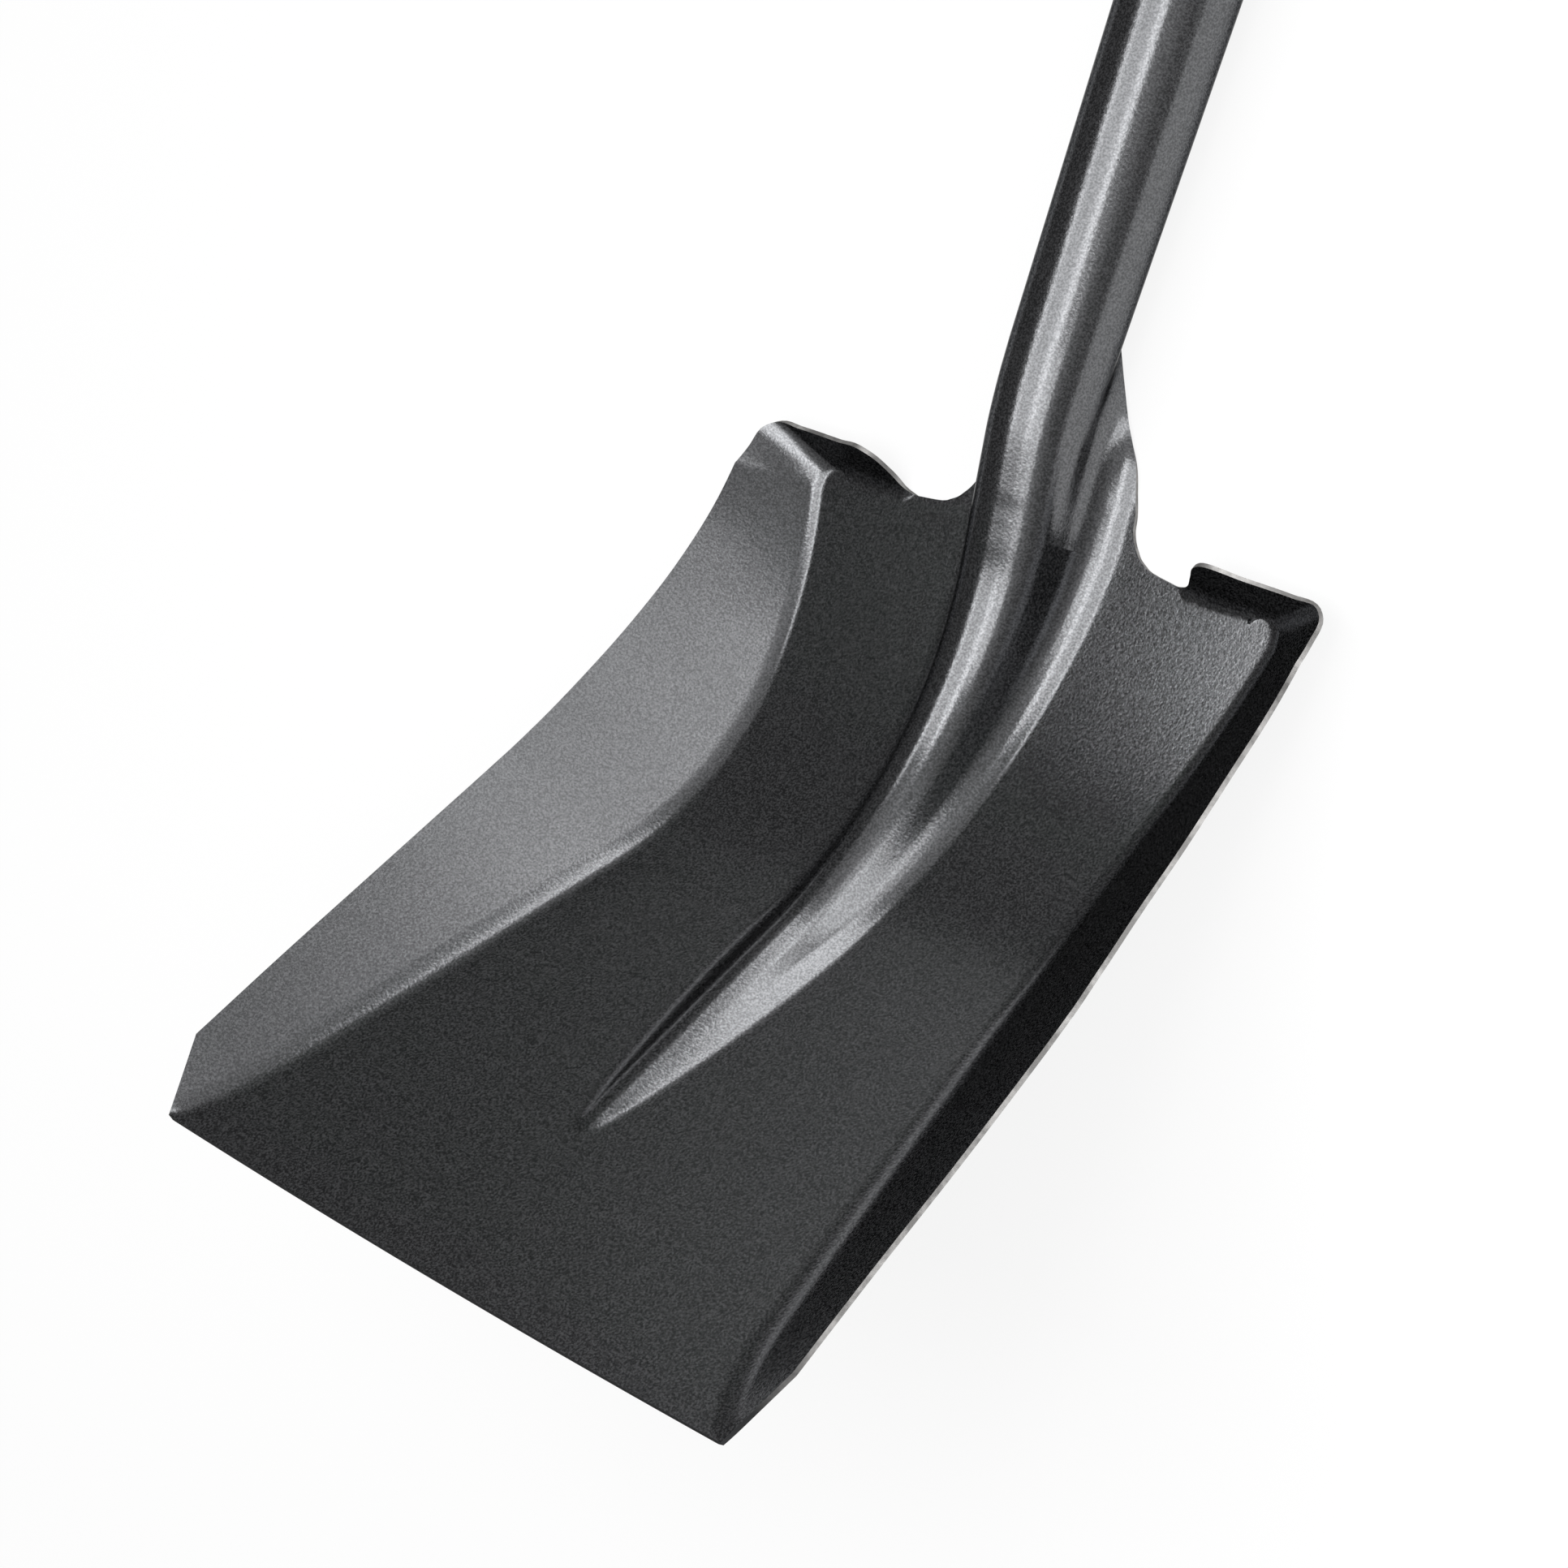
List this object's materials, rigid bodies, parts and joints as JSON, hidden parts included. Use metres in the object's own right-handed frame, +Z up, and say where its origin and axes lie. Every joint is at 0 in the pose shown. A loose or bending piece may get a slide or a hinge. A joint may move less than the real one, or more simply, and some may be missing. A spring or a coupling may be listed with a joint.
{
  "type": "square mouth shovel",
  "caption": "Square mouth shovel with a pressed steel blade and socket, a timber shaft and a metal yoke grip, lying on its back.",
  "frame": {"origin": "middle of the shovel's foot on the ground, between the mouth and the end of the grip", "axes": "+Y from the mouth to the grip, along the shovel's length; +Z up, out of the hollow of the blade; +X across it"},
  "size_m": [0.2588, 0.9952, 0.1765],
  "materials": {
    "lacquered_steel": "semi-gloss dark graphite lacquer with a fine orange-peel grain",
    "timber": "clear varnished ash",
    "rivet_steel": "dull zinc"
  },
  "bodies": {
    "root": {"blade": "lacquered_steel", "shaft": "timber", "socket_rivet_lower": "rivet_steel", "socket_rivet_upper": "rivet_steel", "yoke_front": "lacquered_steel", "yoke_back": "lacquered_steel", "yoke_rivet_lower": "rivet_steel", "yoke_rivet_upper": "rivet_steel", "grip_crosspiece": "timber", "grip_rod": "rivet_steel", "grip_washer_right": "rivet_steel", "grip_washer_left": "rivet_steel"}
  },
  "joints": []
}
